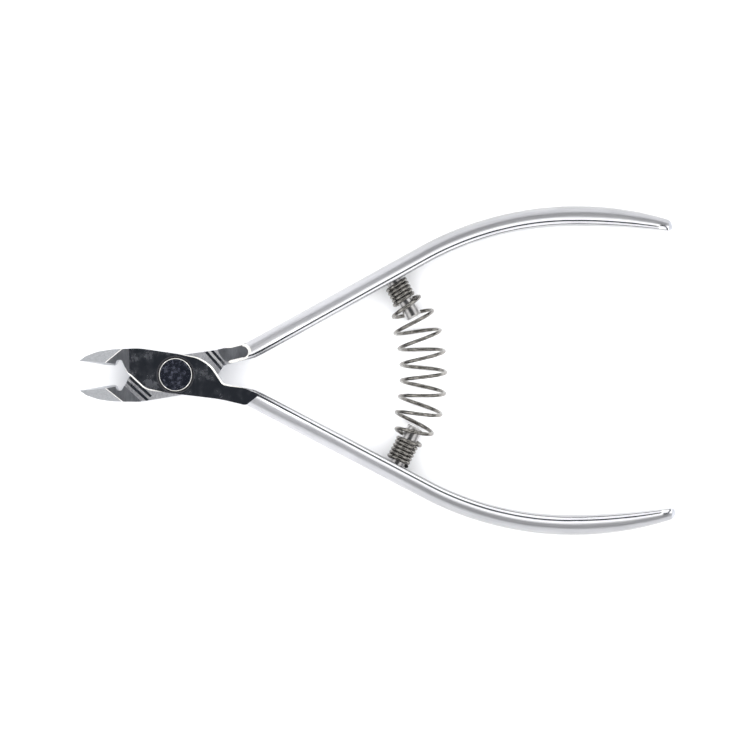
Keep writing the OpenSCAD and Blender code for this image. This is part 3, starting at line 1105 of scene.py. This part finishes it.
# %% The rivet
FIT = 0.03 * MM
soft = 0.15 * MM
small = 0.3 * soft
free_head = HEAD_RADIUS - FIT
rivet_profile = [
    (0, 0),
    (free_head - soft, 0),
    (free_head - small, small),
    (free_head, soft),
    (free_head, HEAD_SEAT - FIT),
    (PIN_RADIUS - FIT, HEAD_SEAT - FIT),
    (PIN_RADIUS - FIT, JOINT_DEPTH - HEAD_SEAT),
    (HEAD_RADIUS, JOINT_DEPTH - HEAD_SEAT),
    (HEAD_RADIUS, JOINT_DEPTH - soft),
    (HEAD_RADIUS - small, JOINT_DEPTH - small),
    (HEAD_RADIUS - soft, JOINT_DEPTH),
    (0, JOINT_DEPTH),
]
rivet_bm = turned_part(rivet_profile)
# the rounded rim of each head takes the painted highlight tone
for face in rivet_bm.faces:
    middle = face.calc_center_median()
    at_rim = hypot(middle.x, middle.y) > HEAD_RADIUS - soft
    face.material_index = 1 if at_rim else 0
rivet = finish_mesh(rivet_bm, "rivet_steel_head", [rivet_polish, painted_edge_highlight], crease=radians(15))
settle(rivet, "front_half", "pivot_rivet")

# %% The studs
STUD_RADIUS = 1.5 * MM
STUD_LENGTH = 7.6 * MM
STUD_BASE = SHANK_CORNER + ALONG * (0.805 * STRAIGHT_LENGTH) - OUTWARD * (HANDLE_THICKNESS + 0.02 * MM)
stud_profile = [
    (0, -1.98 * MM),
    (0.9 * MM, -1.98 * MM),
    (0.9 * MM, 0),
    (STUD_RADIUS, 0),
    (STUD_RADIUS, STUD_LENGTH - 0.35 * MM),
    (STUD_RADIUS - 0.1 * MM, STUD_LENGTH - 0.1 * MM),
    (STUD_RADIUS - 0.35 * MM, STUD_LENGTH),
    (0, STUD_LENGTH),
]
for name, body, side in (("upper_stud", "rear_half", 1), ("lower_stud", "front_half", -1)):
    stud_bm = turned_part(stud_profile)
    way = Vector((-OUTWARD.x, -OUTWARD.y * side, 0))
    turn = way.to_track_quat("Z", "Y").to_matrix().to_4x4()
    place = Matrix.Translation((STUD_BASE.x, STUD_BASE.y * side, MIDDLE)) @ turn
    bmesh.ops.transform(stud_bm, matrix=place, verts=stud_bm.verts)
    stud = finish_mesh(stud_bm, name + "_pin", [stud_polish], crease=radians(20))
    settle(stud, body, name)


# %% [markdown]
# ## The barrel spring
# Round wire closely wound on both studs swells to a barrel in the middle and leans out from the pivot.
# The axis is straight on each stud and an arc between them. Blender's Screw modifier makes only an even
# coil, so the wire is swept: a round ring is extruded along a helix whose radius and pitch ease in and out.

# %% Sizes of the spring
WIRE = 0.7 * MM
BARREL_RADIUS = (8.9 * MM - WIRE) / 2
UPPER_COILS = 4.5
LOWER_COILS = 5.5
OPEN_COILS = 9.2
ALL_COILS = UPPER_COILS + OPEN_COILS + LOWER_COILS
CLOSED_PITCH = 1.05 * WIRE
CLOSED_RADIUS = STUD_RADIUS + 0.05 * MM + WIRE / 2
SEAT = WIRE / 2 + 0.06 * MM
upper_end = SEAT + UPPER_COILS * CLOSED_PITCH
lower_end = SEAT + LOWER_COILS * CLOSED_PITCH
arc_start = STUD_BASE - OUTWARD * upper_end
arc_radius = arc_start.y / sin(HANDLE_ANGLE)
arc_centre_x = arc_start.x - arc_radius * cos(HANDLE_ANGLE)
arc_length = 2 * arc_radius * HANDLE_ANGLE
axis_length = 2 * upper_end + arc_length
RAMP = 1.5
FLARE = 2.6
open_length = axis_length - upper_end - lower_end
open_pitch = CLOSED_PITCH + (open_length - OPEN_COILS * CLOSED_PITCH) / (OPEN_COILS - RAMP)
print(f"spring: {ALL_COILS:.1f} coils on an axis {axis_length / MM:.1f} mm long")
print(f"open pitch {open_pitch / MM:.2f} mm")


# %% The spring's axis and helix
def eased_area(x):
    if x <= 0:
        return 0
    return x - 0.5 if x >= 1 else x**3 - x**4 / 2


def axis_at(s):
    """The point of the axis at a distance from the upper handle, and the direction away from the pivot."""
    if s < upper_end:
        point = STUD_BASE - OUTWARD * s
        angle = HANDLE_ANGLE
    elif s > upper_end + arc_length:
        point = STUD_BASE - OUTWARD * (axis_length - s)
        point.y = -point.y
        angle = -HANDLE_ANGLE
    else:
        angle = HANDLE_ANGLE - (s - upper_end) / arc_radius
        point = Vector((arc_centre_x + arc_radius * cos(angle), arc_radius * sin(angle)))
    return point, Vector((cos(angle), sin(angle)))


def advance(turns):
    """Distance along the axis after a number of turns. The pitch opens and closes over RAMP turns."""
    t = turns - UPPER_COILS
    left = OPEN_COILS - t
    gained = eased_area(t / RAMP)
    if 0 <= t and left < RAMP:
        gained -= (RAMP - left) / RAMP - (0.5 - eased_area(max(0, left) / RAMP))
    return SEAT + turns * CLOSED_PITCH + (open_pitch - CLOSED_PITCH) * RAMP * gained


def wire_at(turns):
    t = turns - UPPER_COILS + 0.3
    left = OPEN_COILS + 0.6 - t
    radius = CLOSED_RADIUS + (BARREL_RADIUS - CLOSED_RADIUS) * ease(t / FLARE) * ease(left / FLARE)
    turn = 2 * pi * (turns - UPPER_COILS - 0.72)
    point, away = axis_at(advance(turns))
    flat = point + away * (radius * cos(turn))
    return Vector((flat.x, flat.y, MIDDLE + radius * sin(turn)))


# %% Sweep the wire
def make_spring():
    bm = bmesh.new()
    sides = 14
    steps = round(ALL_COILS * 56)
    circle = bmesh.ops.create_circle(bm, cap_ends=False, segments=sides, radius=1)["verts"]
    ring = list(dict.fromkeys(edge for vert in circle for edge in vert.link_edges))
    matrices = []
    for i in range(steps + 1):
        turns = ALL_COILS * i / steps
        point = wire_at(turns)
        run = (wire_at(turns + 0.01) - wire_at(turns - 0.01)).normalized()
        centre, _ = axis_at(advance(turns))
        inward = Vector((centre.x, centre.y, MIDDLE)) - point
        side = run.cross(inward).normalized()
        matrices.append(station_matrix(point, side, run.cross(side), WIRE / 2, WIRE / 2))
    bmesh.ops.edgeloop_fill(bm, edges=ring)
    last = sweep(bm, ring, matrices)
    bmesh.ops.edgeloop_fill(bm, edges=last)
    return bm


drawn_wire = steel(
    "drawn_wire",
    tone=(0.36, 0.345, 0.32),
    dull_tone=(0.14, 0.135, 0.125),
    gloss=(0.18, 0.12, 0.08),
    grain=(2.5, 2.5, 2.5),
    patches=(1.1, 0.5),
    bump=0.6,
)
spring = finish_mesh(make_spring(), "barrel_spring", [drawn_wire], crease=radians(50))
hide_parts("coil_spring")
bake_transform(spring)
print(f"barrel_spring: {len(spring.data.polygons)} faces, bends between front_half and rear_half")


# %% [markdown]
# ## Floor, light and camera
# Polished steel shows what stands round it more than its own colour. Bright panels on four sides, with
# nothing overhead, leave the level faces dark and make every sloping edge shine, as in a light tent that
# is open at the top. A camera straight above looks down on a pale table.

# %% The table
TOOL_MIDDLE_X = 0.037
table_bm = bmesh.new()
bmesh.ops.create_grid(
    table_bm,
    x_segments=1,
    y_segments=1,
    size=1.6,
    matrix=Matrix.Translation((TOOL_MIDDLE_X, 0, lever_low.z - 0.02 * MM)),
)
paper = bpy.data.materials.new("pale_paper")
paper.use_nodes = True
paper_shader = paper.node_tree.nodes["Principled BSDF"]
paper_shader.inputs["Base Color"].default_value = (0.93, 0.935, 0.95, 1)
paper_shader.inputs["Roughness"].default_value = 0.9
paper_shader.inputs["Specular IOR Level"].default_value = 0.1
table = finish_mesh(table_bm, "table", [paper])
table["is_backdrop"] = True


# %% The light panels
def light_panel(name, azimuth, elevation, distance, width, height, radiance):
    """A soft box that faces the tool from a direction. Its power follows from its area and brightness."""
    data = bpy.data.lights.new(name, "AREA")
    data.shape = "RECTANGLE"
    data.size = width
    data.size_y = height
    data.energy = radiance * pi * width * height
    lamp = bpy.data.objects.new(name, data)
    a = radians(azimuth)
    e = radians(elevation)
    way = Vector((cos(a) * cos(e), sin(a) * cos(e), sin(e)))
    lamp.location = Vector((TOOL_MIDDLE_X, 0, 0)) + way * distance
    lamp.rotation_euler = way.to_track_quat("Z", "Y").to_euler()
    bpy.context.scene.collection.objects.link(lamp)
    return lamp


PANELS = (("right", 0, 1.3), ("back", 90, 1.4), ("left", 180, 1.3), ("front", 270, 1.3))
PANEL_ELEVATION = 38
PANEL_DISTANCE = 0.8
PANEL_SIZE = (1.15, 0.72)
for name, azimuth, radiance in PANELS:
    light_panel(name + "_panel", azimuth, PANEL_ELEVATION, PANEL_DISTANCE, *PANEL_SIZE, radiance)

# fills the table's shadows from above without being mirrored in the steel
fill = light_panel("fill_panel", 0, 90, 1.2, 1.6, 1.6, 3.0)
fill.visible_glossy = False
fill.visible_camera = False

world = bpy.data.worlds.new("dim_room")
world.use_nodes = True
world.node_tree.nodes["Background"].inputs["Color"].default_value = (0.75, 0.85, 1.0, 1)
world.node_tree.nodes["Background"].inputs["Strength"].default_value = 0.045
bpy.context.scene.world = world

# %% The camera
FRAME_WIDTH = 138.75 * MM
CAMERA_HEIGHT = 0.75
camera_data = bpy.data.cameras.new("camera")
camera_data.sensor_width = 36
camera_data.lens = 36 * CAMERA_HEIGHT / FRAME_WIDTH
camera_data.clip_start = 0.01
camera = bpy.data.objects.new("camera", camera_data)
camera.location = (36.76 * MM, -0.44 * MM, CAMERA_HEIGHT + MIDDLE)
camera.rotation_euler = (0, 0, radians(-0.6))
bpy.context.scene.collection.objects.link(camera)
bpy.context.scene.camera = camera
bpy.context.scene.view_settings.view_transform = "Standard"
bpy.context.scene.view_settings.look = "None"

# %% Measure and finish
low_at_end, high_at_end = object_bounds()
for label, low, high in (("frame", low_at_start, high_at_start), ("finished", low_at_end, high_at_end)):
    print(label, " x ".join(f"{b - a:.2f}" for a, b in zip(low / MM, high / MM)), "mm")
